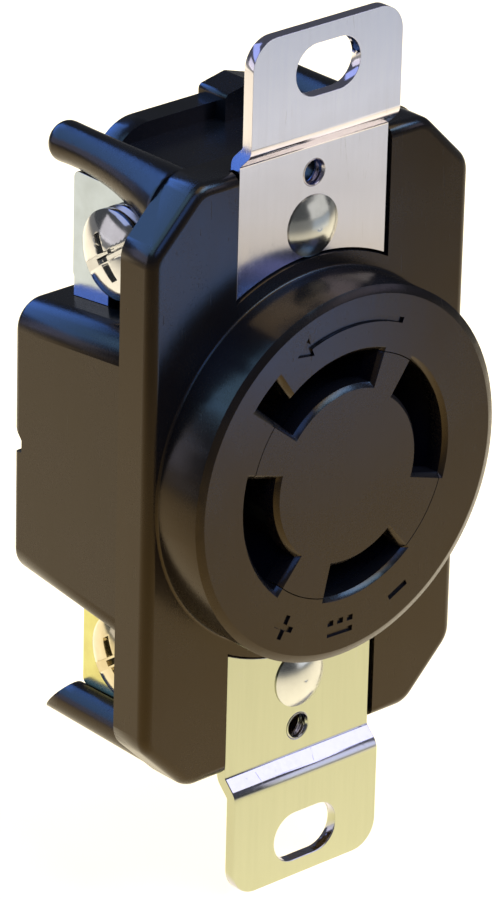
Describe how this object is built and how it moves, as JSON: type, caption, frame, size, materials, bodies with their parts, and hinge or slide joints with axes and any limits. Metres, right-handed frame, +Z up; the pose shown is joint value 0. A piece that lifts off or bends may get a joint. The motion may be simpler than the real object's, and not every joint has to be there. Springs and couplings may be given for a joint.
{
  "type": "locking receptacle",
  "caption": "Flush black locking receptacle for a device box, with an octagonal cover, a round slotted face, plated steel mounting straps and side screw terminals",
  "frame": {"origin": "middle of the two box-screw slots, in the plane of the strap ears' rear faces, which rest on the box", "axes": "+Z up along the straps, -Y out of the round face towards the user, +X to the right seen from the front"},
  "size_m": [0.0418, 0.0283, 0.0924],
  "materials": {
    "cover_plastic": "black phenolic-like moulding, semi-gloss, fine mould skin",
    "body_plastic": "black moulded thermoplastic, semi-gloss",
    "strap_steel": "zinc-plated sheet steel, satin",
    "rivet_steel": "nickel-plated steel, rolled heads",
    "terminal_plate": "nickel-plated brass sheet",
    "contact_bronze": "phosphor bronze leaf",
    "screw_steel": "nickel-plated steel, turned head",
    "washer_steel": "zinc-plated pressed steel"
  },
  "bodies": {
    "housing": {"mounting_strap_upper": "strap_steel", "mounting_strap_lower": "strap_steel", "front_cover": "cover_plastic", "face_core": "cover_plastic", "rear_body": "body_plastic", "assembly_rivet_upper": "rivet_steel", "assembly_rivet_lower": "rivet_steel", "terminal_plate_upper_left": "terminal_plate", "contact_clip_upper_left": "contact_bronze", "contact_rivet_upper_left": "rivet_steel", "terminal_plate_upper_right": "terminal_plate", "contact_clip_upper_right": "contact_bronze", "contact_rivet_upper_right": "rivet_steel", "terminal_plate_lower_left": "terminal_plate", "contact_clip_lower_left": "contact_bronze", "contact_rivet_lower_left": "rivet_steel", "terminal_plate_lower_right": "terminal_plate", "contact_clip_lower_right": "contact_bronze", "contact_rivet_lower_right": "rivet_steel"},
    "washer_upper_left": {"pressure_washer_upper_left": "washer_steel"},
    "screw_upper_left": {"terminal_screw_upper_left": "screw_steel"},
    "washer_upper_right": {"pressure_washer_upper_right": "washer_steel"},
    "screw_upper_right": {"terminal_screw_upper_right": "screw_steel"},
    "washer_lower_left": {"pressure_washer_lower_left": "washer_steel"},
    "screw_lower_left": {"terminal_screw_lower_left": "screw_steel"},
    "washer_lower_right": {"pressure_washer_lower_right": "washer_steel"},
    "screw_lower_right": {"terminal_screw_lower_right": "screw_steel"}
  },
  "joints": [
    {"name": "washer_slide_upper_left", "type": "slide", "parent": "housing", "child": "washer_upper_left", "axis": [-1, 0, 0], "range_m": [-0.0003, 0.0024]},
    {"name": "screw_turn_upper_left", "type": "hinge", "parent": "washer_upper_left", "child": "screw_upper_left", "pos_m": [0, 0.0096, 0.023], "axis": [-1, 0, 0], "range_deg": [-138, 1090]},
    {"name": "washer_slide_upper_right", "type": "slide", "parent": "housing", "child": "washer_upper_right", "axis": [1, 0, 0], "range_m": [-0.0003, 0.0024]},
    {"name": "screw_turn_upper_right", "type": "hinge", "parent": "washer_upper_right", "child": "screw_upper_right", "pos_m": [0, 0.0096, 0.023], "axis": [1, 0, 0], "range_deg": [-138, 1090]},
    {"name": "washer_slide_lower_left", "type": "slide", "parent": "housing", "child": "washer_lower_left", "axis": [-1, 0, 0], "range_m": [-0.0003, 0.0024]},
    {"name": "screw_turn_lower_left", "type": "hinge", "parent": "washer_lower_left", "child": "screw_lower_left", "pos_m": [0, 0.0096, -0.0212], "axis": [-1, 0, 0], "range_deg": [-138, 1090]},
    {"name": "washer_slide_lower_right", "type": "slide", "parent": "housing", "child": "washer_lower_right", "axis": [1, 0, 0], "range_m": [-0.0003, 0.0024]},
    {"name": "screw_turn_lower_right", "type": "hinge", "parent": "washer_lower_right", "child": "screw_lower_right", "pos_m": [0, 0.0096, -0.0212], "axis": [1, 0, 0], "range_deg": [-138, 1090]}
  ],
  "couplings": [
    {"joint": "screw_turn_upper_left", "follows": "washer_slide_upper_left", "rad_per_m": 7915.8},
    {"joint": "screw_turn_upper_right", "follows": "washer_slide_upper_right", "rad_per_m": 7915.8},
    {"joint": "screw_turn_lower_left", "follows": "washer_slide_lower_left", "rad_per_m": 7915.8},
    {"joint": "screw_turn_lower_right", "follows": "washer_slide_lower_right", "rad_per_m": 7915.8}
  ]
}
